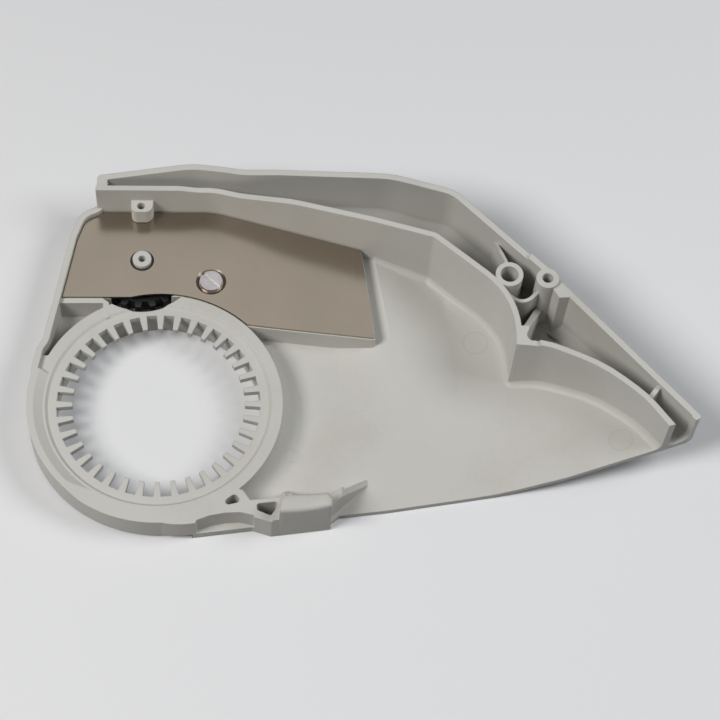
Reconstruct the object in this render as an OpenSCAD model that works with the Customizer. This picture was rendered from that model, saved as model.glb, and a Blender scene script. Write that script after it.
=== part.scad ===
// Side cover of a chainsaw, lying on its outer face with the inside up.
// The origin is the centre of the toothed nut well, on the plane of the outer face.
// X runs along the cover towards its tip, Y towards its tall outer wall, Z into the cover.

/* [Nut well] */
// Radius of the well, at the roots of its teeth
well_r = 38; // [35:0.5:39]
// Number of teeth around the well
tooth_count = 36; // [12:1:40]
// How far a tooth reaches into the well
tooth_len = 6.2; // [3:0.1:9]
// Width of the slot between two teeth
slot_w = 3.8; // [3:0.1:4.6]
// Thickness of the teeth
tooth_t = 2.5; // [1.5:0.1:6]
// Width of the lip that the teeth stand on
tooth_lip = 0.4; // [0.2:0.1:0.8]
// Width of the flat ring behind the tooth roots
ring_flat = 2.8; // [1.5:0.1:3.2]
// Width of the raised ring outside that flat
ring_w = 5.2; // [4.5:0.1:6]
// Height of the raised ring above the teeth
ring_step = 1; // [0.4:0.1:2]
// Width of the hollow foot where the raised ring runs out into the floor
ring_foot = 8.5; // [4:0.5:10]

/* [Outline] */
// Distance from the nut well to the tip
tip_x = 197.2; // [190:0.1:205]
// Distance from the nut well to the tall outer wall
wall_y = 90.8; // [89:0.1:93]

/* [Moulding] */
// Height of the teeth and of the ledge that carries the plate
deck_z = 12; // [11:0.5:15]
// Thickness of the floor
floor_t = 2.5; // [1.5:0.1:4]
// Thickness of the outer wall
outer_t = 2.4; // [1.6:0.1:3.2]
// Thickness of the inner walls
inner_t = 2.2; // [1.6:0.1:3]
// Height of the long walls
wall_z = 35; // [32:0.5:42]
// How much lower both walls start beside the bar
bar_end_drop = 7; // [3:0.5:10]
// Height of the rim on the bar side above the raised ring
rim_rise = 2; // [1:0.5:5]
// Rise of the sloping shoulder at the outer wall
shoulder_rise = 8; // [4:0.5:10]
// Width of the sloping shoulder
shoulder_w = 20; // [14:0.5:26]
// Rise of the underside at the tip
tip_rise = 18; // [10:0.5:19]
// Height of the fold across the floor
fold_rise = 6; // [3:0.5:7]
// Radius of the rounded lower edge, from the nut well round to the tip
edge_r = 2.5; // [1:0.5:4]
// Radius of the fillet inside the foot of the tall outer wall
trough_fillet = 5; // [2:0.5:6]
// Radius of the fillets at the feet of the inner walls
foot_fillet = 3; // [1.5:0.5:4]

/* [Plate] */
// Thickness of the steel plate
plate_t = 1; // [0.6:0.1:1.5]
// Gap between the plate and the walls around it
plate_gap = 0.4; // [0.2:0.1:1]
// Width of the ledge under the edge of the plate
ledge_w = 1.6; // [1:0.1:2]
// Depth of the dish that the screw sits in
dish_depth = 1; // [0.5:0.1:1.6]
// Height of the lug over the edge of the plate
lug_t = 7.7; // [4:0.1:9]

/* [Adjusting wheel] */
// Radius of the wheel over its teeth
wheel_r = 18.4; // [16:0.1:19.2]
// Number of teeth on the wheel
wheel_teeth = 20; // [12:1:30]
// Depth of the wheel's teeth
wheel_tooth_len = 2.6; // [1:0.1:4]
// Thickness of the wheel's rim
wheel_t = 6.2; // [3:0.1:7]
// Radius of the peg that the wheel turns on
peg_r = 3.6; // [3:0.1:4]
// Running clearance around the peg
peg_fit = 0.08; // [0.05:0.01:0.1]
// Bore radius of the peg
peg_bore_r = 1.4; // [1:0.1:2]
// How far the peg stands above the plate
peg_proud = 1.5; // [0.5:0.1:3]

/* [Screw] */
// Radius of the screw's head
head_r = 4.3; // [3.6:0.1:5]
// Height of the screw's head
head_t = 1.8; // [1.2:0.1:2.6]
// Radius of the screw's shank
shank_r = 1.9; // [1.5:0.1:2.2]
// Length of the screw's shank
shank_len = 7; // [4:0.5:8]
// Width of the slot in the screw's head
screw_slot_w = 1.2; // [0.8:0.1:1.6]

/* [Bosses] */
// Bore radius of the guide tube
tube_bore_r = 3.35; // [2.5:0.05:3.8]
// Outer radius of the guide tube
tube_r = 5.2; // [4.6:0.1:5.8]
// Bore radius of the tall boss
post_bore_r = 2.05; // [1.5:0.05:2.6]
// Outer radius of the tall boss
post_r = 4.3; // [3.8:0.1:5]
// How far the tall boss stands above the long walls
post_proud = 1.5; // [0.5:0.1:3]
// Bore radius of the lug
lug_bore_r = 1.5; // [1:0.05:1.8]

/* [Bumper] */
// Height of the bumper block beside the nut well
bumper_z = 22; // [19:0.5:28]
// Radius of the hollow across the top of the bumper
bumper_hollow_r = 30; // [22:1:60]
// Thickness of the webs around the bumper
web_t = 1.8; // [1.2:0.1:2.4]

/* [Hidden] */

$fn = 96;
big = 400;
// How deep a solid reaches into the one that it grows from
sink = 1;

step_r = well_r + ring_flat;
step_w = 1;
ring_r = step_r + ring_w;
rim_r = ring_r + outer_t;
tooth_tip_r = well_r - tooth_len;
ring_z = deck_z + ring_step;
rim_z = ring_z + rim_rise;
plate_top = deck_z + plate_t;
bar_end_z = wall_z - bar_end_drop;

// The wheel stands beside the nut well, and a wall is left between its window and the well
window_wall = 1.2;
window_gap = 3.6;
wheel_gap = 1.2;
peg_at = [-7.4, well_r + window_wall + window_gap + wheel_r];
hub_r = peg_r + 0.7;
hub_gap = 0.25;
pad_r = peg_r + 2.4;
pad_t = 0.5;
wheel_float = 0.15;
wheel_z = floor_t + pad_t + wheel_float;
hub_top = plate_top - 0.1;

screw_at = [19, 52];
screw_fit = 0.05;
seat_r = head_r + 0.3;
dish_r = seat_r + 1.2;
seat_z = plate_top - dish_depth;

tube_at = [130.6, 42.4];
post_at = [144.6, 39.8];
lug_at = [-7.4, wall_y - 9.9];
lug_gap = 0.3;

// Corner points of the outer wall, from the bar end to the tip, as [x, y, corner radius]
wall_run = [
  [-24.5, wall_y - 0.2, 2],
  [14, wall_y, 25],
  [31, wall_y - 1.9, 30],
  [88, wall_y - 3.9, 40],
  [112, wall_y - 11.2, 14],
  [149, 40.2, 60],
  [tip_x, -17.6, 1]
];
// Corner points from the tip along the open edge to the bumper and the nut well
open_run = [
  [tip_x - 3.2, -19.4, 2],
  [tip_x - 12.9, -21.7, 1],
  [150, -29.4, 60],
  [84, -39.4, 90],
  [66.2, -41.4, 0],
  [63.4, -43.6, 0.8],
  [62.9, -45.7, 0.8],
  [41.3, -48.4, 0.8],
  [34.5, -46.2, 3],
  [6, -49.6, 30]
];
// Corner points from the nut well up the bar side, back to the outer wall
bar_run = [
  [-rim_r + 0.8, 12, 20],
  [-45.6, 22.5, 3],
  [-43.6, 26, 3],
  [-34.9, 71.5, 12],
  [-31.5, wall_y - 9.3, 9],
  [-24.5, wall_y - 6.2, 3]
];
outline_run = concat(wall_run, open_run, [[-20, -42.5, 0], [-44, -18, 0]], bar_run);

inner_run = [
  [-23, wall_y - 7.3 + inner_t / 2, 0],
  [20, wall_y - 7.5 + inner_t / 2, 30],
  [103.5, 58.4 + inner_t / 2, 5],
  [131.5 + inner_t / 2, 33.5, 32],
  [131.5 + inner_t / 2, 12.5, 0]
];
clutch_run = [
  [131.5, 13.6, 0],
  [143, 12.4, 30],
  [163, 3.5, 60],
  [tip_x - 19.7, -9.5, 40],
  [tip_x - 10.2, -23.2, 0]
];

function unit(v) = v / norm(v);
function heading(v) = atan2(v.y, v.x);
function normal_of(v) = [-v.y, v.x] / norm(v);

// Points of one rounded corner at b, between a and c
function corner(a, b, c) =
  let (p = [b.x, b.y], u = unit([a.x, a.y] - p), v = unit([c.x, c.y] - p))
  let (half = acos(max(-1, min(1, u * v))) / 2, r = b[2])
  (r <= 0 || half > 89.5) ? [p] :
  let (centre = p + unit(u + v) * r / sin(half))
  let (from = heading(p + u * r / tan(half) - centre))
  let (turn = heading(p + v * r / tan(half) - centre) - from)
  let (sweep = turn > 180 ? turn - 360 : turn < -180 ? turn + 360 : turn)
  let (steps = max(2, ceil(abs(sweep) / 7)))
  [for (i = [0:steps]) centre + r * [cos(from + sweep * i / steps), sin(from + sweep * i / steps)]];

// A closed outline with every corner rounded
function closed(run) =
  let (n = len(run))
  [for (i = [0:n - 1]) each corner(run[(i + n - 1) % n], run[i], run[(i + 1) % n])];

// An open line with its inner corners rounded
function open_line(run) =
  let (n = len(run))
  concat(
    [[run[0].x, run[0].y]],
    [for (i = [1:n - 2]) each corner(run[i - 1], run[i], run[i + 1])],
    [[run[n - 1].x, run[n - 1].y]]
  );

// The line moved sideways by d, mitred at its points
function beside(line, d) =
  let (n = len(line))
  [for (i = [0:n - 1])
    let (before = i > 0 ? normal_of(line[i] - line[i - 1]) : normal_of(line[1] - line[0]))
    let (after = i < n - 1 ? normal_of(line[i + 1] - line[i]) : before)
    let (mid = unit(before + after))
    line[i] + mid * d / (mid * before)];

// A flat band of width t along a rounded line
module band(run, t) {
  line = open_line(run);
  left = beside(line, t / 2);
  right = beside(line, -t / 2);
  n = len(line);
  polygon(concat(left, [for (i = [n - 1:-1:0]) right[i]]));
}

// How much higher the clutch wall stands than the inner wall
clutch_step = 1;

// Lines that the long slopes of the skin start from
top_line = wall_run[3].y;
bend = [wall_run[4].x, wall_run[4].y];
tip = [wall_run[6].x, wall_run[6].y];
run_out = heading(tip - bend);
shoulder_slope = shoulder_rise / shoulder_w;
ramp_x = 125;
// Where the foot of the tall wall ends at the tip
wall_foot_y = -19.3;
ramp_slope = tip_rise / (tip.x - ramp_x);

// Crest of the floor's fold, as [y, share of its rise]
fold_crest = [[-14, -0.1], [-10, 0.03], [0, 0.25], [12, 0.6], [27, 0.95], [42, 1], [90, 0.85]];
fold_rows = [0, 0.05, 0.11, 0.18, 0.26, 0.34, 0.42, 0.5, 0.6, 0.7, 0.8, 0.9, 1];
fold_cols = [for (i = [-6:6]) i / 6];
fold_from = -14;
fold_dip = 0.6;

// How fillets and rounded edges are swept
sweep_step = 14;
fillet_steps = 6;
bite = 0.05;
root = 0.8;

function fold_x(y) = 93 - (y + 12) * 0.141;
function fold_half(t) = t < 0 ? 30 : 34;
// Where the fold ends, just inside the inner wall
function inner_wall_y(x) = lookup(x, [for (i = [0:3]) [inner_run[i].x, inner_run[i].y]]) - inner_t / 4;
function fold_end(t, y, n) = n == 0 ? y : fold_end(t, inner_wall_y(fold_x(y) + t * fold_half(t)), n - 1);
// Height of the fold at a share t of its half width, with a crease along the crest
function fold_h(y, t) =
  max(fold_rise * lookup(y, fold_crest), -fold_dip) * (1 - sin(90 * abs(t))) - fold_dip * abs(t);

module fold(lift) {
  rows = len(fold_rows) + 1;
  cols = len(fold_cols);
  top = concat(
    [for (s = fold_rows) for (t = fold_cols)
      let (y = fold_from + s * (fold_end(t, 60, 4) - fold_from))
      [fold_x(y) + t * fold_half(t), y, lift + fold_h(y, t)]],
    [for (t = fold_cols)
      let (y = fold_end(t, 60, 4))
      [fold_x(y) + t * fold_half(t), y + 0.5, lift - fold_dip]]
  );
  base = [for (p = top) [p.x, p.y, -5]];
  count = rows * cols;
  cells = [for (r = [0:rows - 2]) for (c = [0:cols - 2]) r * cols + c];
  edge = concat(
    [for (c = [0:cols - 1]) c],
    [for (r = [1:rows - 1]) r * cols + cols - 1],
    [for (c = [cols - 2:-1:0]) (rows - 1) * cols + c],
    [for (r = [rows - 2:-1:1]) r * cols]
  );
  rim = len(edge);
  polyhedron(
    points = concat(top, [for (i = edge) base[i]], [base[floor(rows / 2) * cols + floor(cols / 2)]]),
    faces = concat(
      [for (i = cells) each [[i, i + cols, i + 1], [i + 1, i + cols, i + cols + 1]]],
      [for (i = [0:rim - 1]) each [
        [edge[i], edge[(i + 1) % rim], count + i],
        [edge[(i + 1) % rim], count + (i + 1) % rim, count + i],
        [count + i, count + (i + 1) % rim, count + rim]
      ]]
    )
  );
}

// Height of the skin's underside at a point, with the fold's own height inside the inner wall
function fold_z(p) =
  let (dx = p.x - fold_x(p.y))
  let (t = dx / fold_half(dx))
  abs(t) < 1 && p.y > fold_from && p.y < inner_wall_y(p.x) ? fold_h(p.y, t) : 0;
function skin_z(p) = max(
  0,
  shoulder_slope * (p.y - top_line + shoulder_w),
  shoulder_slope * ((p - bend) * [-sin(run_out), cos(run_out)] + shoulder_w),
  ramp_slope * (p.x - ramp_x),
  fold_z(p)
);

// The line with extra points, so that none of its steps is longer than sweep_step
function dense(line) = concat(
  [for (i = [0:len(line) - 2])
    let (n = ceil(norm(line[i + 1] - line[i]) / sweep_step))
    for (k = [0:n - 1]) line[i] + (line[i + 1] - line[i]) * k / n],
  [line[len(line) - 1]]
);

// Solid along a line. Its section is a ring of [distance to the left, height over the skin], whose
// first point sees all the others
module sweep(run, section, lift) {
  line = dense(open_line(run));
  rows = len(line);
  cols = len(section);
  sides = [for (s = section) beside(line, s[0])];
  last = (rows - 1) * cols;
  polyhedron(
    points = [for (i = [0:rows - 1]) for (j = [0:cols - 1])
      let (p = sides[j][i])
      [p.x, p.y, lift + skin_z(p) + section[j][1]]],
    faces = concat(
      [for (i = [0:rows - 2]) for (j = [0:cols - 1])
        let (a = i * cols + j, b = i * cols + (j + 1) % cols)
        each [[a, a + cols, b], [b, a + cols, b + cols]]],
      [for (j = [1:cols - 2]) [0, j, j + 1]],
      [for (j = [1:cols - 2]) [last, last + j + 1, last + j]]
    )
  );
}

// Section of a fillet on the left or right face of a wall, which lies at a distance from the line
function fillet(r, face, side) =
  let (arc = [for (a = [0:90 / fillet_steps:90]) [face + side * (r * (1 - sin(a)) - bite), r * (1 - cos(a)) - bite]])
  let (ring = concat(arc, [[face - side * root, r - bite]]))
  concat([[face - side * root, -root]], side > 0 ? ring : [for (i = [len(ring) - 1:-1:0]) ring[i]]);

// Section of what a rounded lower edge takes away, outside the left side of the line
function edge_cut(r) = concat(
  [[sink, -2 * sink], [sink, r + bite]],
  [for (a = [0:90 / fillet_steps:90]) [-r + (r + bite) * cos(a), r - (r + bite) * sin(a)]],
  [[-r - sink / 2, -2 * sink]]
);

module outline() {
  circle(r = rim_r, $fn = 180);
  polygon(closed(outline_run));
}

// Outer strip of the outline, as wide as the outer wall
module outline_strip() {
  difference() {
    outline();
    offset(delta = -outer_t) outline();
  }
}

// Everything above a line of [x, z] points, along Y
module above_line(line) {
  translate([0, big / 2, 0])
    rotate([90, 0, 0])
      linear_extrude(height = big)
        polygon(concat(line, [[line[len(line) - 1].x, 90], [line[0].x, 90]]));
}

// Everything below a line of [x, z] points, along Y
module below_line(line) {
  translate([0, big / 2, 0])
    rotate([90, 0, 0])
      linear_extrude(height = big)
        polygon(concat(line, [[line[len(line) - 1].x, -5], [line[0].x, -5]]));
}

// All that lies above the flat outer face, its shoulders, its fold and its raised tip
module above_skin(lift) {
  shoulder = open_line([
    [-big, lift, 0],
    [-shoulder_w, lift, 30],
    [30, lift + shoulder_slope * (shoulder_w + 30), 0]
  ]);
  difference() {
    intersection() {
      translate([0, top_line, 0])
        rotate([0, 0, 90])
          above_line(shoulder);
      translate([bend.x, bend.y, 0])
        rotate([0, 0, run_out + 90])
          above_line(shoulder);
      above_line(open_line([
        [-big, lift, 0],
        [ramp_x, lift, 60],
        [tip.x + 30, lift + ramp_slope * (tip.x + 30 - ramp_x), 0]
      ]));
    }
    fold(lift);
  }
}

module floor_plan() {
  difference() {
    linear_extrude(height = wall_z - 1) outline();
    above_skin(floor_t);
  }
}

module outer_wall() {
  top = wall_z;
  intersection() {
    linear_extrude(height = wall_z + 1)
      intersection() {
        outline_strip();
        polygon([
          [-30, wall_y - 5.4],
          [60, wall_y - 10.8],
          [98, 76],
          [140, 36],
          [tip_x - 2, wall_foot_y],
          [big, wall_foot_y],
          [big, big],
          [-30, big]
        ]);
      }
    below_line(open_line([
      [-40, bar_end_z - 2, 0],
      [10, top, 30],
      [22, top, 40],
      [32, top - 0.8, 40],
      [44, top, 40],
      [big, top, 0]
    ]));
  }
}

module inner_wall() {
  intersection() {
    linear_extrude(height = wall_z + 1) band(inner_run, inner_t);
    below_line(open_line([
      [-40, bar_end_z, 0],
      [7, bar_end_z, 8],
      [14, bar_end_z - 1.3, 8],
      [30, bar_end_z - 0.4, 30],
      [50, wall_z - 2, 30],
      [80, wall_z, 60],
      [big, wall_z, 0]
    ]));
  }
}

// Short wall that joins the outer and the inner wall beside the bar
module bar_end_wall() {
  linear_extrude(height = bar_end_z)
    intersection() {
      outline();
      translate([-25, wall_y - 7.3])
        square([4.5, 10]);
    }
}

// Wall beside the clutch, which starts a step higher than the inner wall that it grows from
module clutch_wall() {
  step_x = 139.9;
  top = wall_z + clutch_step;
  intersection() {
    linear_extrude(height = top + 1)
      intersection() {
        outline();
        band(clutch_run, inner_t);
      }
    below_line([[100, wall_z], [step_x - 0.1, wall_z], [step_x + 0.1, top], [big, top]]);
  }
  // Rounded corner between the clutch wall and the web of the tall boss
  linear_extrude(height = wall_z)
    polygon(closed([
      [132.2, 12.3, 0],
      [132.2, 20.4, 0],
      [136.9, 20.4, 0],
      [134.25, 14.25, 2.8],
      [140.4, 13.6, 0],
      [140.4, 12.2, 0]
    ]));
}

// Rim on the bar side, from the end of the walls down to the nut well
module bar_rim() {
  linear_extrude(height = rim_z)
    intersection() {
      outline_strip();
      polygon([
        [-60, 12.5], [-36, 12.5], [-20, wall_y - 6.8], [-22, wall_y - 0.8], [-60, wall_y - 0.8]
      ]);
    }
}

// Raised edge of the nut well on the bar side, which falls to the ring at its lower end
module well_rim() {
  rim_from = 163;
  fall_from = 225;
  fall_angle = 14;
  difference() {
    intersection() {
      rotate([0, 0, rim_from])
        rotate_extrude(angle = fall_from + 13 - rim_from, $fn = 144)
          polygon([
            [ring_r - 3.4, ring_z - sink],
            [ring_r - 3.4, ring_z],
            [ring_r, rim_z],
            [rim_r + 5, rim_z],
            [rim_r + 5, ring_z - sink]
          ]);
      linear_extrude(height = big) outline();
    }
    rotate([0, 0, fall_from])
      translate([ring_r - 8, 0, ring_z + rim_rise])
        rotate([-fall_angle, 0, 0])
          translate([0, -6, 0])
            cube([20, 80, 20]);
  }
}

module nut_ring() {
  rotate_extrude($fn = 144)
    polygon([
      [well_r - sink, 0],
      [ring_r, 0],
      [ring_r, ring_z],
      [step_r + step_w, ring_z],
      [step_r, deck_z],
      [well_r - sink, deck_z]
    ]);
  linear_extrude(height = ring_z)
    intersection() {
      difference() {
        outline();
        circle(r = ring_r - sink, $fn = 144);
      }
      polygon([[-60, 20], [-60, -60], [14, -60], [14, -46.6], [10, -40], [0, 0], [-36, 20]]);
    }
}

// Hollow foot that runs from the raised ring down to the floor, towards the clutch
module nut_ring_foot() {
  foot_from = -52;
  foot_sweep = 88;
  foot_z = floor_t - 0.3;
  foot_h = deck_z - foot_z;
  rotate([0, 0, foot_from])
    rotate_extrude(angle = foot_sweep, $fn = 144)
      polygon(concat(
        [[ring_r - sink, foot_z - sink], [ring_r - sink, deck_z]],
        [for (a = [0:15:90])
          [ring_r + ring_foot * (1 - cos(a)), deck_z - foot_h * sin(a)]],
        [[ring_r + ring_foot, foot_z - sink]]
      ));
}

module well_teeth() {
  slot_from = tooth_tip_r - 2;
  difference() {
    translate([0, 0, deck_z - tooth_t])
      difference() {
        cylinder(r = well_r + sink, h = tooth_t, $fn = 144);
        translate([0, 0, -sink])
          cylinder(r = tooth_tip_r, h = tooth_t + 2 * sink, $fn = 144);
      }
    for (i = [0:tooth_count - 1])
      rotate([0, 0, (i + 0.5) * 360 / tooth_count])
        translate([slot_from, -slot_w / 2, deck_z - tooth_t - sink])
          cube([well_r - tooth_lip - slot_from, slot_w, tooth_t + 2 * sink]);
  }
}

// Where the inner wall's inner side is free of the plate
plate_end_x = 82;

// Fillets at the feet of the tall wall and of the inner walls
module foot_fillets() {
  wall_end = [tip_x + 1.9, tip.y - 2.3, 0];
  wall_line = concat([[-22.5, wall_y - 0.2, 0]], [for (i = [1:5]) wall_run[i]], [wall_end]);
  corner_at = [inner_run[4].x, 13.6, 0.5];
  foot_end = clutch_run[4];
  sweep(wall_line, fillet(trough_fillet, -outer_t, -1), floor_t);
  sweep(
    concat(
      [[plate_end_x, inner_wall_y(plate_end_x) + inner_t / 4, 0], inner_run[2], inner_run[3], corner_at],
      [for (i = [1:3]) clutch_run[i]],
      [foot_end]
    ),
    fillet(foot_fillet, -inner_t / 2, -1),
    floor_t
  );
  sweep(
    [[-21.5, inner_run[0].y, 0], inner_run[1], inner_run[2], inner_run[3], [inner_run[4].x, 15.5, 0]],
    fillet(foot_fillet, inner_t / 2, 1),
    floor_t
  );
  sweep(
    concat([[136.5, 13.1, 0]], [for (i = [1:3]) clutch_run[i]], [foot_end]),
    fillet(foot_fillet, inner_t / 2, 1),
    floor_t
  );
}

// Rounded lower edge up the bar side, round the bar end and along under the tall wall to the tip
module long_edge() {
  // The floor limits this radius
  r = min(edge_r, floor_t);
  past = 5;
  past_tip = [tip.x + past, tip.y + past * (tip.y - wall_run[5].y) / (tip.x - wall_run[5].x), 0];
  sweep(
    concat(
      [[-47.2, 8.6, 0]],
      [for (p = concat(bar_run, [for (i = [0:5]) wall_run[i]])) [p.x, p.y, max(p[2], r + sink)]],
      [past_tip]
    ),
    edge_cut(r),
    0
  );
}

// Rounded lower edge around the nut well
module edge_round() {
  rotate([0, 0, 168])
    rotate_extrude(angle = 120, $fn = 144)
      polygon(concat(
        [[rim_r + 2, -sink], [rim_r + 2, edge_r + 0.4]],
        [for (a = [-6:12:90])
          [rim_r - edge_r + (edge_r + 0.02) * cos(a), edge_r - (edge_r + 0.02) * sin(a)]],
        [[rim_r - edge_r - 0.5, -sink]]
      ));
}

// Area inside the walls where the steel plate lies
module plate_bed() {
  front_y = 44.8;
  difference() {
    intersection() {
      offset(delta = -outer_t) outline();
      polygon(closed([
        [-60, front_y, 0],
        [8, front_y, 0],
        [20, 30, 0],
        [31, 33, 0],
        [43, 31.4, 0],
        [81.4, 26.8, 1],
        [77.2, 64.6, 3],
        [74, 74, 0],
        [40, wall_y, 0],
        [-23.4, wall_y, 0],
        [-23.4, wall_y - 6.2, 0],
        [-60, wall_y - 6.2, 0]
      ]));
    }
    polygon(concat(
      beside(open_line(inner_run), -inner_t / 2),
      [[140, big], [-40, big], [-40, wall_y - 6.6]]
    ));
    circle(r = ring_r + plate_gap / 2, $fn = 144);
  }
}

// Ledge that the edge of the plate rests on
module ledge() {
  linear_extrude(height = deck_z)
    difference() {
      plate_bed();
      offset(delta = -ledge_w) plate_bed();
    }
}

// Shelf beside the plate, between the bar rim and the wheel's window
module shelf() {
  linear_extrude(height = ring_z)
    intersection() {
      band([[-42, 43.6, 0], [-20.6, 43.6, 1.4], [-20.6, 36, 0]], inner_t);
      outline();
    }
}

module guide_tube() {
  translate([tube_at.x, tube_at.y, 0])
    cylinder(r = tube_r, h = wall_z);
}

module post() {
  translate([post_at.x, post_at.y, 0])
    cylinder(r = post_r, h = wall_z + post_proud);
}

// Upright rib of thickness t from one point towards another. Its profile is given as
// [distance, height] from its top near the first point to its far end
module rib(from, to, t, profile) {
  translate([from.x, from.y, 0])
    rotate([0, 0, heading(to - from)])
      rotate([90, 0, 0])
        translate([0, 0, -t / 2])
          linear_extrude(height = t)
            polygon(concat([[profile[0].x, 0]], profile, [[profile[len(profile) - 1].x, 0]]));
}

module boss_webs() {
  corner_at = [134, 16.4];
  reach = norm(post_at - corner_at) - post_r;
  post_web_z = 20;
  rib_end = 18.4;
  rib_end_z = 28;
  // Web that falls from the corner of the inner walls to the tall boss
  rib(corner_at, post_at, outer_t, [[0, wall_z], [3.4, wall_z], [reach, post_web_z], [reach + 2, post_web_z]]);
  // Rib that falls from the guide tube to the tall outer wall
  rib(tube_at, [127.2, 60.5], 1.3, [
    [tube_r - sink, wall_z],
    [tube_r + 0.8, wall_z],
    [rib_end, rib_end_z],
    [rib_end + 1.2, rib_end_z]
  ]);
  // Low curved web between the guide tube and the tall boss
  linear_extrude(height = wall_z - 4.5)
    band([[128, 38, 0], [135.6, 31.8, 5], [142, 37.8, 0]], 1.4);
  // Filled corner behind the tall boss, and the raised pad beside it
  linear_extrude(height = wall_z)
    polygon([[145, 43.4], [151.6, 35.6], [153, 32.4], [148.6, 32.2], [146, 37]]);
  linear_extrude(height = wall_z + post_proud)
    intersection() {
      outline_strip();
      polygon([[139.9, 51.5], [137.2, 47.6], [141.5, 42], [147, 40], [147, 46]]);
    }
  // Web between the two walls near the tip
  linear_extrude(height = wall_z - 2)
    band([[tip_x - 19, -9.6, 0], [tip_x - 13.4, -3.2, 0]], web_t);
}

// Lug on the inner wall that holds the edge of the plate down
module lug() {
  half_w = 4.3;
  front = 2.7;
  translate([lug_at.x, lug_at.y, plate_top + lug_gap])
    linear_extrude(height = lug_t)
      polygon(closed([
        [-half_w, front + sink, 0],
        [-half_w, -front, 2.4],
        [half_w - 0.6, -front, 3],
        [half_w, front + sink, 0]
      ]));
}

module peg() {
  translate([peg_at.x, peg_at.y, 1]) {
    cylinder(r = peg_r, h = plate_top + peg_proud - 1);
    cylinder(r = pad_r, h = floor_t + pad_t - 1);
  }
}

module screw_boss() {
  translate([screw_at.x, screw_at.y, 1])
    cylinder(r = seat_r, h = seat_z - plate_t - 1);
}

// Webs between the nut well and the bumper
module bumper_webs() {
  difference() {
    linear_extrude(height = ring_z)
      intersection() {
        outline();
        polygon([
          [13, -40], [13, -60], [44, -60], [62, -44], [62, -40.6], [48, -38.2], [33.6, -39.6], [31.1, -35.6], [26, -34]
        ]);
      }
    translate([0, 0, floor_t])
      linear_extrude(height = big) {
        polygon(closed([[20.8, -42.6, 1.2], [30.6, -40.2, 1.2], [28.2, -36.8, 1.4]]));
        polygon(closed([[36, -41, 1], [43.6, -40.2, 0.8], [43, -43, 0.8], [41.2, -45.8, 0.8], [36.2, -43.6, 1]]));
      }
    translate([0, 0, floor_t + 1])
      linear_extrude(height = big)
        polygon([[12, -52], [14.4, -47.4], [19.2, -45.6], [24.6, -44.6], [30, -44.4], [35, -45.6], [35.6, -52]]);
  }
}

module bumper() {
  hollow_depth = 1.6;
  difference() {
    linear_extrude(height = bumper_z)
      polygon(closed([
        [44.2, -48.03, 0.6],
        [62.9, -45.7, 0.8],
        [63.3, -43.4, 0.8],
        [61.6, -40.2, 1],
        [47.2, -40.6, 1.5],
        [44.4, -43, 1.5]
      ]));
    translate([53.4, -60, bumper_z + bumper_hollow_r - hollow_depth])
      rotate([-90, 0, 0])
        cylinder(r = bumper_hollow_r, h = 30, $fn = 120);
  }
  // Step at the front of the bumper
  linear_extrude(height = ring_z + 1.2)
    polygon(closed([[41.3, -48.4, 0.8], [45, -47.9, 0], [45, -44.4, 0], [41.6, -45.2, 1.2]]));
  // Fin that falls from the bumper to the floor
  intersection() {
    linear_extrude(height = ring_z) {
      band([[61.6, -42, 0], [66, -38.2, 3], [77, -28, 0]], web_t);
      band([[61, -39.8, 0], [68, -35.2, 0]], web_t);
    }
    below_line([[20, ring_z], [67, ring_z], [77.6, floor_t - 0.5], [90, floor_t - 0.5]]);
  }
  // Rib that falls from the back of the bumper to the floor
  translate([48.8, -41, 0])
    rotate([0, 0, 101])
      rotate([90, 0, 0])
        translate([0, 0, -web_t / 2])
          linear_extrude(height = web_t)
            polygon([[0, 0], [0, ring_z], [4, ring_z], [10, floor_t - 0.5], [10, 0]]);
}

// Room for the wheel, which opens a slot in the sloping shoulder, and the window beside the nut well
module wheel_room() {
  window_r = wheel_r + window_gap;
  room_z = wheel_z - wheel_float - 0.1;
  translate([peg_at.x, peg_at.y, room_z])
    cylinder(r = wheel_r + wheel_gap, h = plate_top - room_z);
  intersection() {
    translate([peg_at.x, peg_at.y, -sink])
      cylinder(r = window_r, h = big);
    translate([-60, 20, -sink])
      cube([120, ring_r - 0.8 - 20, big]);
  }
}

module bores() {
  translate([peg_at.x, peg_at.y, floor_t])
    cylinder(r = peg_bore_r, h = big);
  translate([screw_at.x, screw_at.y, seat_z - plate_t - shank_len - 0.8])
    cylinder(r = shank_r + screw_fit, h = big);
  translate([tube_at.x, tube_at.y, 9])
    cylinder(r = tube_bore_r, h = big);
  translate([post_at.x, post_at.y, 15])
    cylinder(r = post_bore_r, h = big);
  translate([lug_at.x - 0.5, lug_at.y, plate_top + lug_gap + 1.5])
    cylinder(r = lug_bore_r, h = big);
}

module cover() {
  color([0.76, 0.75, 0.71])
    difference() {
      union() {
        difference() {
          intersection() {
            union() {
              floor_plan();
              outer_wall();
              inner_wall();
              bar_end_wall();
              clutch_wall();
              bar_rim();
              well_rim();
              nut_ring();
              nut_ring_foot();
              ledge();
              shelf();
              guide_tube();
              post();
              boss_webs();
              screw_boss();
              bumper_webs();
              bumper();
              intersection() {
                foot_fillets();
                linear_extrude(height = wall_z) outline();
              }
            }
            above_skin(0);
          }
          wheel_room();
          translate([0, 0, -sink])
            cylinder(r = well_r, h = big, $fn = 144);
          edge_round();
          long_edge();
        }
        well_teeth();
        lug();
        peg();
      }
      bores();
    }
}

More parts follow.
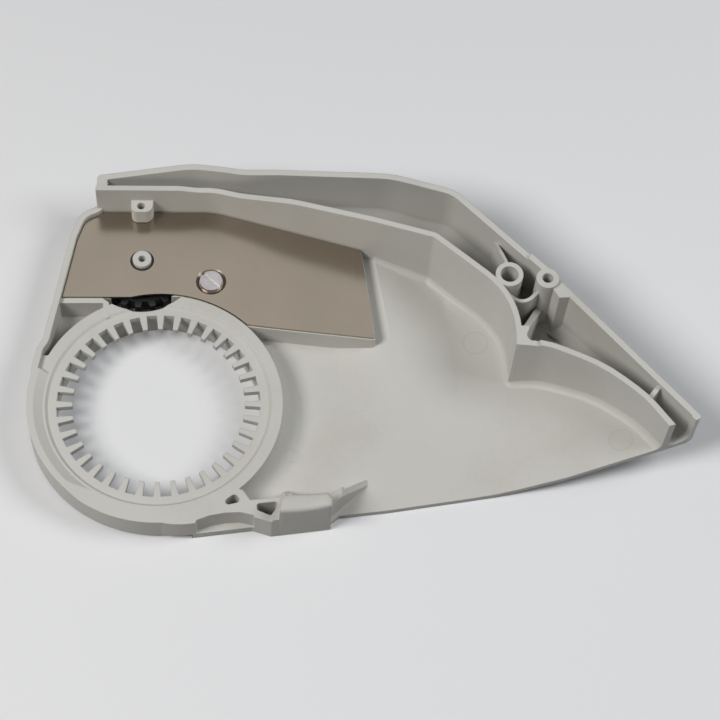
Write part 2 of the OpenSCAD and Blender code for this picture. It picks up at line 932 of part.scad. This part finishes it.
module side_plate() {
  hole_r = hub_r + hub_gap;
  color([0.6, 0.55, 0.48]) {
    translate([0, 0, deck_z])
      linear_extrude(height = plate_t)
        difference() {
          offset(delta = -plate_gap) plate_bed();
          translate(peg_at) circle(r = hole_r);
          translate(screw_at) circle(r = dish_r);
        }
    // Dish around the screw
    translate([screw_at.x, screw_at.y, deck_z])
      rotate_extrude()
        polygon([
          [shank_r + 0.3, -dish_depth],
          [seat_r, -dish_depth],
          [dish_r, 0],
          [dish_r + sink, 0],
          [dish_r + sink, plate_t],
          [dish_r, plate_t],
          [seat_r, plate_t - dish_depth],
          [shank_r + 0.3, plate_t - dish_depth]
        ]);
  }
}

module plate_screw() {
  slot_depth = head_t / 2;
  color([0.68, 0.67, 0.67])
    translate([screw_at.x, screw_at.y, seat_z])
      difference() {
        union() {
          cylinder(r = head_r, h = head_t);
          translate([0, 0, -shank_len])
            cylinder(r = shank_r, h = shank_len + head_t / 4);
        }
        rotate([0, 0, -45])
          translate([-head_r - 1, -screw_slot_w / 2, head_t - slot_depth])
            cube([2 * head_r + 2, screw_slot_w, head_t]);
      }
}

module adjusting_wheel() {
  web_z = wheel_t * 0.7;
  rim_in = wheel_r - wheel_tooth_len - 2;
  pitch = 360 / wheel_teeth;
  notch_in = (wheel_r - wheel_tooth_len) * sin(pitch * 0.22);
  notch_out = (wheel_r + sink) * sin(pitch * 0.36);
  color([0.08, 0.08, 0.08])
    translate([peg_at.x, peg_at.y, wheel_z])
      difference() {
        rotate_extrude($fn = 120)
          polygon([
            [peg_r + peg_fit, 0],
            [wheel_r, 0],
            [wheel_r, wheel_t],
            [rim_in, wheel_t],
            [rim_in, web_z],
            [hub_r, web_z],
            [hub_r, hub_top - wheel_z],
            [peg_r + peg_fit, hub_top - wheel_z]
          ]);
        for (i = [0:wheel_teeth - 1])
          rotate([0, 0, (i + 0.25) * pitch])
            translate([0, 0, -sink])
              linear_extrude(height = wheel_t + 2 * sink)
                polygon([
                  [wheel_r - wheel_tooth_len, -notch_in],
                  [wheel_r + sink, -notch_out],
                  [wheel_r + sink, notch_out],
                  [wheel_r - wheel_tooth_len, notch_in]
                ]);
      }
}

cover();
side_plate();
plate_screw();
adjusting_wheel();
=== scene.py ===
# %% [markdown]
# # Side cover of a chainsaw
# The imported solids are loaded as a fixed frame: one grey moulding, a steel plate, a screw and a
# black wheel. The cover lies on its outer face with its inside up. Blender works in metres, and a
# size that is easier to read in millimetres is multiplied by MM.

# %% Load the frame
import math

import bmesh
import bpy
from mathutils import Matrix, Vector


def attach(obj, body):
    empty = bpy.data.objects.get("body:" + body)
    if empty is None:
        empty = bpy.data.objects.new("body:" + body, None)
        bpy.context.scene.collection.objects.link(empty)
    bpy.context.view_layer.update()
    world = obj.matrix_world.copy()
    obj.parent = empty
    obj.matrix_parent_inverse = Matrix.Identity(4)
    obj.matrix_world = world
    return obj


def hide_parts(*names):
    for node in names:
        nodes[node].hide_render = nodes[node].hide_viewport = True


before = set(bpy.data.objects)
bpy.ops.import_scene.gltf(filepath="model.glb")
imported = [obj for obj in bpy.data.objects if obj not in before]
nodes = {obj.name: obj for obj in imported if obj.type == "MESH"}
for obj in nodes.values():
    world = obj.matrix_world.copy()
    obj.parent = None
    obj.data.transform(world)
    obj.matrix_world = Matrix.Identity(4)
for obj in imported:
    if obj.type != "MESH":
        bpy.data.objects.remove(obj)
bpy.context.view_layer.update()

MM = 0.001
print("nodes:", sorted(nodes))

# %% [markdown]
# ## Camera
# The photograph looks down steeply from the open side of the cover. The camera is placed by its
# own position and its turn about three axes, with a long lens, so that the picture has little
# perspective. These numbers come from a fit of the cover's known points to the same points in the
# photograph.

# %% Camera
photo_width_px, sensor_width_mm = 720, 36
focal_px = 2133.64
yaw, pitch, roll = 0.114220, 1.073806, -0.099249
eye = Vector((31.47, -361.72, 717.37)) * MM

forward = Vector((
    math.sin(yaw) * math.cos(pitch), math.cos(yaw) * math.cos(pitch), -math.sin(pitch)
))
level = Vector((math.cos(yaw), -math.sin(yaw), 0))
below = forward.cross(level)
right = math.cos(roll) * level + math.sin(roll) * below
down = -math.sin(roll) * level + math.cos(roll) * below

camera_data = bpy.data.cameras.new("camera")
camera_data.sensor_fit = "HORIZONTAL"
camera_data.sensor_width = sensor_width_mm
camera_data.lens = focal_px * sensor_width_mm / photo_width_px
camera_data.clip_start = 0.05
camera_data.clip_end = 20
camera = bpy.data.objects.new("camera", camera_data)
turn = Matrix((right, -down, -forward)).transposed()
camera.matrix_world = Matrix.Translation(eye) @ turn.to_4x4()
bpy.context.scene.collection.objects.link(camera)
bpy.context.scene.camera = camera
print("camera lens in mm:", round(camera_data.lens, 1))

# %% [markdown]
# ## Light
# In the photograph the faces that look up and to the left front are the brightest, and the long
# trough is dark. A wide lamp high at the left front gives that, a weaker and slightly cooler one
# from the right opens the shadows, and the world around adds little. A lamp straight behind would
# glare in the flat plate, so there is none.

# %% Lamps
lamp_size = 0.6
lamp_target = Vector((0.07, 0.02, 0.0))


def area_lamp(name, place, power, colour):
    """A round lamp that looks at the middle of the cover."""
    data = bpy.data.lights.new(name, "AREA")
    data.shape = "DISK"
    data.size = lamp_size
    data.energy = power
    data.color = colour
    lamp = bpy.data.objects.new(name, data)
    lamp.location = place
    lamp.rotation_euler = (lamp_target - Vector(place)).to_track_quat("-Z", "Y").to_euler()
    bpy.context.scene.collection.objects.link(lamp)


area_lamp("window_lamp", (-0.75, -0.35, 1.1), 13.7, (1.0, 0.99, 0.975))
area_lamp("side_lamp", (0.9, 0.0, 0.9), 6.4, (0.95, 0.98, 1.0))
bpy.context.scene.view_settings.view_transform = "Standard"

# %% [markdown]
# ## Shader maths
# A material is a tree of nodes. Here a socket of such a tree is wrapped in a small class, so a
# pattern can be written as an expression: each operator adds one Math node, and one method adds
# every other kind.

# %% A socket that can be used in expressions
class Field:
    def __init__(self, tree, socket):
        self.tree, self.socket = tree, socket

    def node(self, kind, settings=None, **values):
        """A new node. Its sockets are given by name, or by number as i0, i1 and so on."""
        made = self.tree.nodes.new(kind)
        for key, value in (settings or {}).items():
            setattr(made, key, value)
        for key, value in values.items():
            numbered = key[0] == "i" and key[1:].isdigit()
            socket = made.inputs[int(key[1:]) if numbered else key]
            if isinstance(value, Field):
                self.tree.links.new(value.socket, socket)
            else:
                socket.default_value = value
        return made

    def out(self, made, name=0):
        """One output of a node, by its name or number."""
        return Field(self.tree, made.outputs[name])

    def maths(self, operation, *values):
        sockets = {f"i{place}": value for place, value in enumerate(values)}
        return self.out(self.node("ShaderNodeMath", {"operation": operation}, **sockets))

    def __add__(self, other):
        return self.maths("ADD", self, other)

    def __mul__(self, other):
        return self.maths("MULTIPLY", self, other)

    def __sub__(self, other):
        return self.maths("SUBTRACT", self, other)

    def __rsub__(self, other):
        return self.maths("SUBTRACT", other, self)

    __radd__ = __add__
    __rmul__ = __mul__

    def most(self, other):
        """The larger of two numbers."""
        return self.maths("MAXIMUM", self, other)

    def root(self):
        """The square root."""
        return self.maths("SQRT", self)

    def size(self):
        """The number without its sign."""
        return self.maths("ABSOLUTE", self)

    def step(self, low, high):
        """0 below low, 1 above high, and smooth between them."""
        smooth = {"interpolation_type": "SMOOTHSTEP"}
        ends = {"From Min": low, "From Max": high}
        return self.out(self.node("ShaderNodeMapRange", smooth, Value=self, **ends))


print("shader maths ready")

# %% [markdown]
# ## Patterns
# Noise varies a tone over a surface, and stretched noise gives streaks. A bump tilts the normal by
# a height, and a rounded normal makes a sharp edge look soft. Each takes the place on the piece,
# or the number, that it works on, and gives a new expression.

# %% Noise, places and colours
def noise(place, scale, detail, rough):
    """Cloudy noise, with scale clouds to the metre."""
    values = {"Scale": scale, "Detail": detail, "Roughness": rough}
    return place.out(place.node("ShaderNodeTexNoise", Vector=place, **values))


def stretched(place, scale):
    """A place, multiplied along its three axes."""
    return place.out(place.node("ShaderNodeMapping", Vector=place, Scale=scale))


def coordinates(place):
    """The x, y and z of a place."""
    made = place.node("ShaderNodeSeparateXYZ", i0=place)
    return place.out(made, 0), place.out(made, 1), place.out(made, 2)


def mixed(share, low, high):
    """A colour between two colours."""
    made = share.node("ShaderNodeMix", {"data_type": "RGBA"}, i0=share, i6=(*low, 1), i7=(*high, 1))
    return share.out(made, 2)


def srgb(r, g, b):
    """A colour from its 0 to 255 screen values."""
    def linear(v):
        v /= 255
        return v / 12.92 if v <= 0.04045 else ((v + 0.055) / 1.055) ** 2.4
    return (linear(r), linear(g), linear(b))


print("white is", srgb(255, 255, 255))

# %% Normals
def bump(height, strength, distance, soft=None):
    """A normal with a height on it, over the normal soft if one is given."""
    values = {"Height": height, "Strength": strength, "Distance": distance}
    if soft is not None:
        values["Normal"] = soft
    return height.out(height.node("ShaderNodeBump", **values))


def rounded(place, radius):
    """The normal that the surface would have if its edges were rounded by this radius."""
    return place.out(place.node("ShaderNodeBevel", {"samples": 6}, Radius=radius))


def blended(share, low, high):
    """A normal between two normals."""
    made = share.node("ShaderNodeMix", {"data_type": "VECTOR"}, i0=share, i4=low, i5=high)
    return share.out(made, 1)


print("patterns:", [made.__name__ for made in (noise, stretched, mixed, bump, rounded, blended)])

# %% [markdown]
# ## Materials
# Every finish starts from an empty material, reads its place in the object's own coordinates, and
# feeds expressions into the sockets of its shader. What is the same all over is set on the socket
# itself.

# %% Helpers for materials
def new_finish(name):
    """An empty material, its shader and its object coordinates."""
    finish = bpy.data.materials.new(name)
    finish.use_nodes = True
    tree = finish.node_tree
    place = tree.nodes.new("ShaderNodeTexCoord")
    return finish, tree.nodes["Principled BSDF"], Field(tree, place.outputs["Object"])


def feed(shader, name, value):
    """Let an expression drive one socket of a shader."""
    shader.id_data.links.new(value.socket, shader.inputs[name])


def seen_directly(field):
    """1 for rays from the camera, from a mirror or through glass, and 0 for all other light."""
    rays = field.node("ShaderNodeLightPath")
    kinds = ("Is Camera Ray", "Is Glossy Ray", "Is Transmission Ray")
    camera_ray, glossy_ray, passing_ray = (field.out(rays, kind) for kind in kinds)
    return camera_ray.most(glossy_ray).most(passing_ray)


print("helpers:", [made.__name__ for made in (new_finish, feed, seen_directly)])

# %% [markdown]
# ## World
# The world lights the cover only faintly. The camera, and the rays that bounce off metal, see it
# white: that keeps the backdrop pale and gives the plate an even tone without more light on the
# plastic.

# %% World
ambient = 0.07
sky_colour = (0.96, 0.98, 1.0, 1)

world = bpy.data.worlds.new("studio")
bpy.context.scene.world = world
world.use_nodes = True
backdrop = world.node_tree.nodes["Background"]
backdrop.inputs["Color"].default_value = sky_colour
seen = seen_directly(Field(world.node_tree, backdrop.outputs[0]))
feed(backdrop, "Strength", seen * (1 - ambient) + ambient)
print("ambient light:", ambient)

# %% [markdown]
# ## Moulded plastic
# The moulding is light grey with a fine eroded grain, a little warmer and darker in patches where
# it was handled, and satin where the mould was smoother. No edge of it is sharp. Real bevels on a
# shape with this many small steps would need thousands of faces, so the shader rounds the edges by
# half a millimetre, and by over two round the bumper, to soften the lines where its two pieces
# meet. The floor also has the faint rings that ejector pins leave.

# %% Masks on the moulding
ejector_rings = [(0.1202, 0.0308, 0.0047), (0.1708, -0.0163, 0.0042), (0.0492, -0.0171, 0.0026)]
ring_line = (0.0001, 0.0005)
# Where the softer edges of the bumper begin and end, each as a short fade.
bumper_start, bumper_end = (0.0432, 0.0450), (0.0620, 0.0636)
bumper_foot, bumper_back = (0.011, 0.014), (-0.0408, -0.0396)


def ring_mark(x, y, ring_x, ring_y, radius):
    """1 on the thin line of a ring, and 0 elsewhere."""
    along, across = x - ring_x, y - ring_y
    off = ((along * along + across * across).root() - radius).size()
    return 1 - off.step(*ring_line)


def near_bumper(x, y, z):
    """1 on the upper part of the bumper, and 0 on the rest of the moulding."""
    along = x.step(*bumper_start) * (1 - x.step(*bumper_end))
    return along * z.step(*bumper_foot) * (1 - y.step(*bumper_back))


print("ejector rings:", len(ejector_rings))

# %% Moulded plastic
fine_round, bumper_round = 0.0005, 0.0022
clean_grey, handled_grey = srgb(196, 194, 188), srgb(187, 184, 177)
above_outer_face = (0.0012, 0.0022)


def moulded_plastic():
    finish, shader, place = new_finish("moulded_plastic")
    x, y, z = coordinates(place)
    inside = z.step(*above_outer_face)
    rings = sum(ring_mark(x, y, *ring) for ring in ejector_rings) * inside
    cloud = noise(place, 22, 4, 0.55)
    speck = noise(place, 900, 2, 0.6)
    grain = noise(place, 2600, 2, 0.5)
    handled = (cloud + speck * 0.25).step(0.55, 0.95) + rings * 0.7
    feed(shader, "Base Color", mixed(handled, clean_grey, handled_grey))
    feed(shader, "Roughness", cloud * 0.12 + 0.44)
    soft = blended(near_bumper(x, y, z), rounded(place, fine_round), rounded(place, bumper_round))
    feed(shader, "Normal", bump(grain + speck * 0.6 - rings * 1.5, 0.18, 0.00006, soft))
    shader.inputs["Specular IOR Level"].default_value = 0.42
    return finish


plastic = moulded_plastic()
print("finish:", plastic.name)

# %% [markdown]
# ## Rolled steel
# The plate is thin rolled sheet, smooth enough to mirror the wall beside it, and warm grey, with
# faint streaks along the rolling direction. Noise that is squeezed along x and drawn out along y
# gives them.

# %% Rolled steel
def rolled_steel():
    finish, shader, place = new_finish("rolled_steel")
    streak = noise(stretched(place, (1500, 40, 1)), 1.0, 4, 0.6)
    cloud = noise(place, 26, 3, 0.5)
    tone = (streak * 0.2 + cloud * 0.8).step(0.3, 0.7)
    feed(shader, "Base Color", mixed(tone, srgb(149, 139, 125), srgb(155, 144, 130)))
    feed(shader, "Roughness", streak * 0.04 + 0.2)
    feed(shader, "Normal", bump(streak, 0.03, 0.00001))
    shader.inputs["Metallic"].default_value = 1.0
    return finish


steel = rolled_steel()
print("finish:", steel.name)

# %% [markdown]
# ## Zinc plate
# The screw is zinc plated: it is paler than the plate, and its roughness is higher, so it mirrors
# nothing clearly. The edges of metals aren't rounded by the shader, because that leaves bright
# specks in a gloss.

# %% Zinc plate
def zinc_plated():
    finish, shader, place = new_finish("zinc_plated")
    cloud = noise(place, 220, 3, 0.5)
    tone = cloud.step(0.3, 0.7)
    feed(shader, "Base Color", mixed(tone, srgb(174, 166, 167), srgb(183, 178, 178)))
    feed(shader, "Roughness", cloud * 0.12 + 0.26)
    feed(shader, "Normal", bump(cloud, 0.04, 0.00001))
    shader.inputs["Metallic"].default_value = 1.0
    return finish


zinc = zinc_plated()
print("finish:", zinc.name)

# %% [markdown]
# ## Black plastic
# The wheel is a plain black moulding. A black that isn't quite black, and a soft gloss, keep its
# teeth readable in the shade under the plate.

# %% Black plastic
def black_plastic():
    finish, shader, place = new_finish("black_plastic")
    cloud = noise(place, 60, 3, 0.5)
    tone = cloud.step(0.3, 0.7)
    feed(shader, "Base Color", mixed(tone, srgb(13, 13, 14), srgb(21, 21, 22)))
    feed(shader, "Roughness", cloud * 0.15 + 0.4)
    feed(shader, "Normal", bump(cloud, 0.05, 0.00004, rounded(place, 0.0003)))
    return finish


black = black_plastic()
print("finish:", black.name)

# %% [markdown]
# ## Copies of the solids
# A CAD mesh is loose triangles with normals of its own. A copy of it drops them and is merged, so
# that flat areas stay flat and curved ones turn smoothly, with the larger faces deciding the
# shade. A small piece, such as the screw, can also get real bevels on its edges, after its
# triangles are dissolved into whole faces.

# %% Copy and merge one solid
def only(piece):
    """Select this piece and nothing else."""
    bpy.ops.object.select_all(action="DESELECT")
    piece.select_set(True)
    bpy.context.view_layer.objects.active = piece


def copied(node, name, finish):
    """A copy of a node with its own mesh, name and finish, without the node's marks or normals."""
    piece = nodes[node].copy()
    piece.data = nodes[node].data.copy()
    for key in list(piece.keys()):
        del piece[key]
    piece.parent = None
    piece.name = piece.data.name = name
    bpy.context.scene.collection.objects.link(piece)
    piece.data.materials.clear()
    piece.data.materials.append(finish)
    only(piece)
    if piece.data.has_custom_normals:
        bpy.ops.mesh.customdata_custom_splitnormals_clear()
    return piece


merge_distance = 0.000002
flat_angle = math.radians(1)


def merge(piece, dissolve):
    """Join the loose triangles, and drop the points and edges that no face uses."""
    bpy.ops.object.mode_set(mode="EDIT")
    bpy.ops.mesh.select_all(action="SELECT")
    bpy.ops.mesh.remove_doubles(threshold=merge_distance)
    bpy.ops.mesh.delete_loose()
    bpy.ops.mesh.select_all(action="SELECT")
    if dissolve:
        bpy.ops.mesh.dissolve_limited(angle_limit=flat_angle)
    bpy.ops.mesh.normals_make_consistent(inside=False)
    bpy.ops.object.mode_set(mode="OBJECT")


print("solids to copy:", len(nodes))

# %% Dress one solid
smooth_angle, bevel_angle, bevel_steps = math.radians(30), math.radians(35), 2


def dressed(node, name, body, finish, change=None, edge=0):
    """A finished piece for a node. change sets listed points, and edge is the width of a bevel."""
    piece = copied(node, name, finish)
    if change:
        change(piece)
    merge(piece, dissolve=edge > 0)
    if edge:
        bevel = piece.modifiers.new("rounded_edges", "BEVEL")
        bevel.width, bevel.segments = edge, bevel_steps
        bevel.limit_method, bevel.angle_limit = "ANGLE", bevel_angle
        bpy.ops.object.modifier_apply(modifier=bevel.name)
    bpy.ops.object.shade_smooth_by_angle(angle=smooth_angle)
    weight = piece.modifiers.new("flat_faces_first", "WEIGHTED_NORMAL")
    weight.keep_sharp = True
    bpy.ops.object.modifier_apply(modifier=weight.name)
    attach(piece, body)
    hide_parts(node)
    print(name, "faces:", len(piece.data.polygons))


print("edges are smoothed under", round(math.degrees(smooth_angle)), "degrees")

# %% [markdown]
# ## Points of the moulding that are set to given places
# Three places of the big moulding need a small change. The outer wall starts level, a pinhole in
# the rim of the well is closed by drawing its points together, and the top of the bumper is
# lowered, to make room for the rounder one below. Points are found by a box round them, because
# their order isn't known.

# %% Points to set
# Each row: lowest and highest corner of a box, and the place for its points, in millimetres.
far = 1000
settled_points = {
    "start of the outer wall": ((-far, 84, 28.05), (-22, far, 29.5), (None, None, 28)),
    "top of the bumper": ((44, -48.5, 19.5), (64, -39.8, far), (None, None, 18.5)),
    "pinhole in the rim": ((12.5, -45, 2.4), (13.1, -44.1, far), (12.8, -44.4, None)),
}


def settle(piece):
    for name, (low, high, place) in settled_points.items():
        inside = [
            point for point in piece.data.vertices
            if all(a < value < b for a, value, b in zip(low, point.co / MM, high))
        ]
        for point in inside:
            for axis, value in enumerate(place):
                if value is not None:
                    point.co[axis] = value * MM
        print(name, "points:", len(inside))


# %% Dress the four solids
dressed("cover", "cover_moulding", "cover_body", plastic, settle)
dressed("side_plate", "side_plate_sheet", "cover_body", steel)
dressed("plate_screw", "plate_screw_metal", "cover_body", zinc, edge=0.18 * MM)
dressed("adjusting_wheel", "adjusting_wheel_moulding", "wheel_body", black)

# %% [markdown]
# ## Bumper
# Beside the well stands a block with a soft hollow across its top. Its edges are rounded so much
# that the shader can't show it, because the outline changes too. So this block is modelled: a flat
# outline is extruded, cut across into strips, its top is hollowed strip by strip, and the rim of
# the top is bevelled.

# %% Outline of the bumper, extruded and cut
bumper_corners = [
    (44.15, -48.1), (62.95, -45.78), (63.4, -43.35), (61.65, -40.15), (47.1, -40.55), (44.3, -42.95)
]
bumper_cuts = (49.0, 51.2, 53.4, 55.6, 57.8, 59.8)
bumper_top = 22.0

bpy.ops.object.select_all(action="DESELECT")
bpy.ops.mesh.primitive_circle_add(
    vertices=len(bumper_corners), radius=10 * MM, fill_type="NGON", location=(0, 0, 0)
)
bumper = bpy.context.active_object
bumper.name = bumper.data.name = "bumper_rounded"
for point, corner in zip(bumper.data.vertices, bumper_corners):
    point.co = Vector((*corner, 0)) * MM
bpy.ops.object.mode_set(mode="EDIT")
bpy.ops.mesh.select_all(action="SELECT")
bpy.ops.mesh.extrude_region_move(TRANSFORM_OT_translate={"value": (0, 0, bumper_top * MM)})
for cut in bumper_cuts:
    bpy.ops.mesh.select_all(action="SELECT")
    bpy.ops.mesh.bisect(plane_co=(cut * MM, 0, 0), plane_no=(1, 0, 0))
bpy.ops.object.mode_set(mode="OBJECT")
print("bumper points:", len(bumper.data.vertices))

# %% Hollow in the top of the bumper
hollow_x, hollow_r, hollow_depth = 53.4, 30.0, 1.6
half_way = 0.5 * bumper_top * MM

for point in bumper.data.vertices:
    if point.co.z > half_way:
        off = point.co.x / MM - hollow_x
        point.co.z = (bumper_top - hollow_depth + off * off / (2 * hollow_r)) * MM
print("hollow in mm:", hollow_depth)

# %% Rounded rim of the bumper
rim_r, rim_steps = 1.5, 5
upright, flat = 0.2, 0.8
bumper_smooth_angle = math.radians(40)

bpy.ops.object.mode_set(mode="EDIT")
bpy.ops.mesh.select_all(action="SELECT")
bpy.ops.mesh.normals_make_consistent(inside=False)
bpy.ops.mesh.select_mode(type="EDGE")
bpy.ops.mesh.select_all(action="DESELECT")
shape = bmesh.from_edit_mesh(bumper.data)
open_edges = sum(1 for edge in shape.edges if len(edge.link_faces) != 2)
for edge in shape.edges:
    slopes = sorted(abs(face.normal.z) for face in edge.link_faces)
    high = min(point.co.z for point in edge.verts) > half_way
    edge.select_set(high and len(slopes) == 2 and slopes[0] < upright and slopes[1] > flat)
bmesh.update_edit_mesh(bumper.data)
bpy.ops.mesh.bevel(offset=rim_r * MM, segments=rim_steps, affect="EDGES")
bpy.ops.mesh.select_mode(type="VERT")
bpy.ops.object.mode_set(mode="OBJECT")
only(bumper)
bpy.ops.object.shade_smooth_by_angle(angle=bumper_smooth_angle)
bumper.data.materials.append(plastic)
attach(bumper, "cover_body")
print("open edges:", open_edges, "bumper faces:", len(bumper.data.polygons))

# %% [markdown]
# ## Floor
# The cover lies on a plain pale floor, a twentieth of a millimetre below it, so that the two faces
# don't fight. The floor looks pale to the camera and in the metals, and is darker to all other
# light, so that it throws little light back up at the cover's sides.

# %% Floor
floor_width, floor_gap = 6, 0.05 * MM
floor_seen, floor_to_light = (0.78, 0.78, 0.79), (0.2, 0.2, 0.2)

bpy.ops.object.select_all(action="DESELECT")
bpy.ops.mesh.primitive_plane_add(size=floor_width, location=(0, 0, -floor_gap))
floor = bpy.context.active_object
floor.name = "floor"
floor_finish, floor_shader, floor_place = new_finish("pale_floor")
feed(floor_shader, "Base Color", mixed(seen_directly(floor_place), floor_to_light, floor_seen))
floor_shader.inputs["Roughness"].default_value = 0.9
floor.data.materials.append(floor_finish)
print("floor width in m:", floor_width)
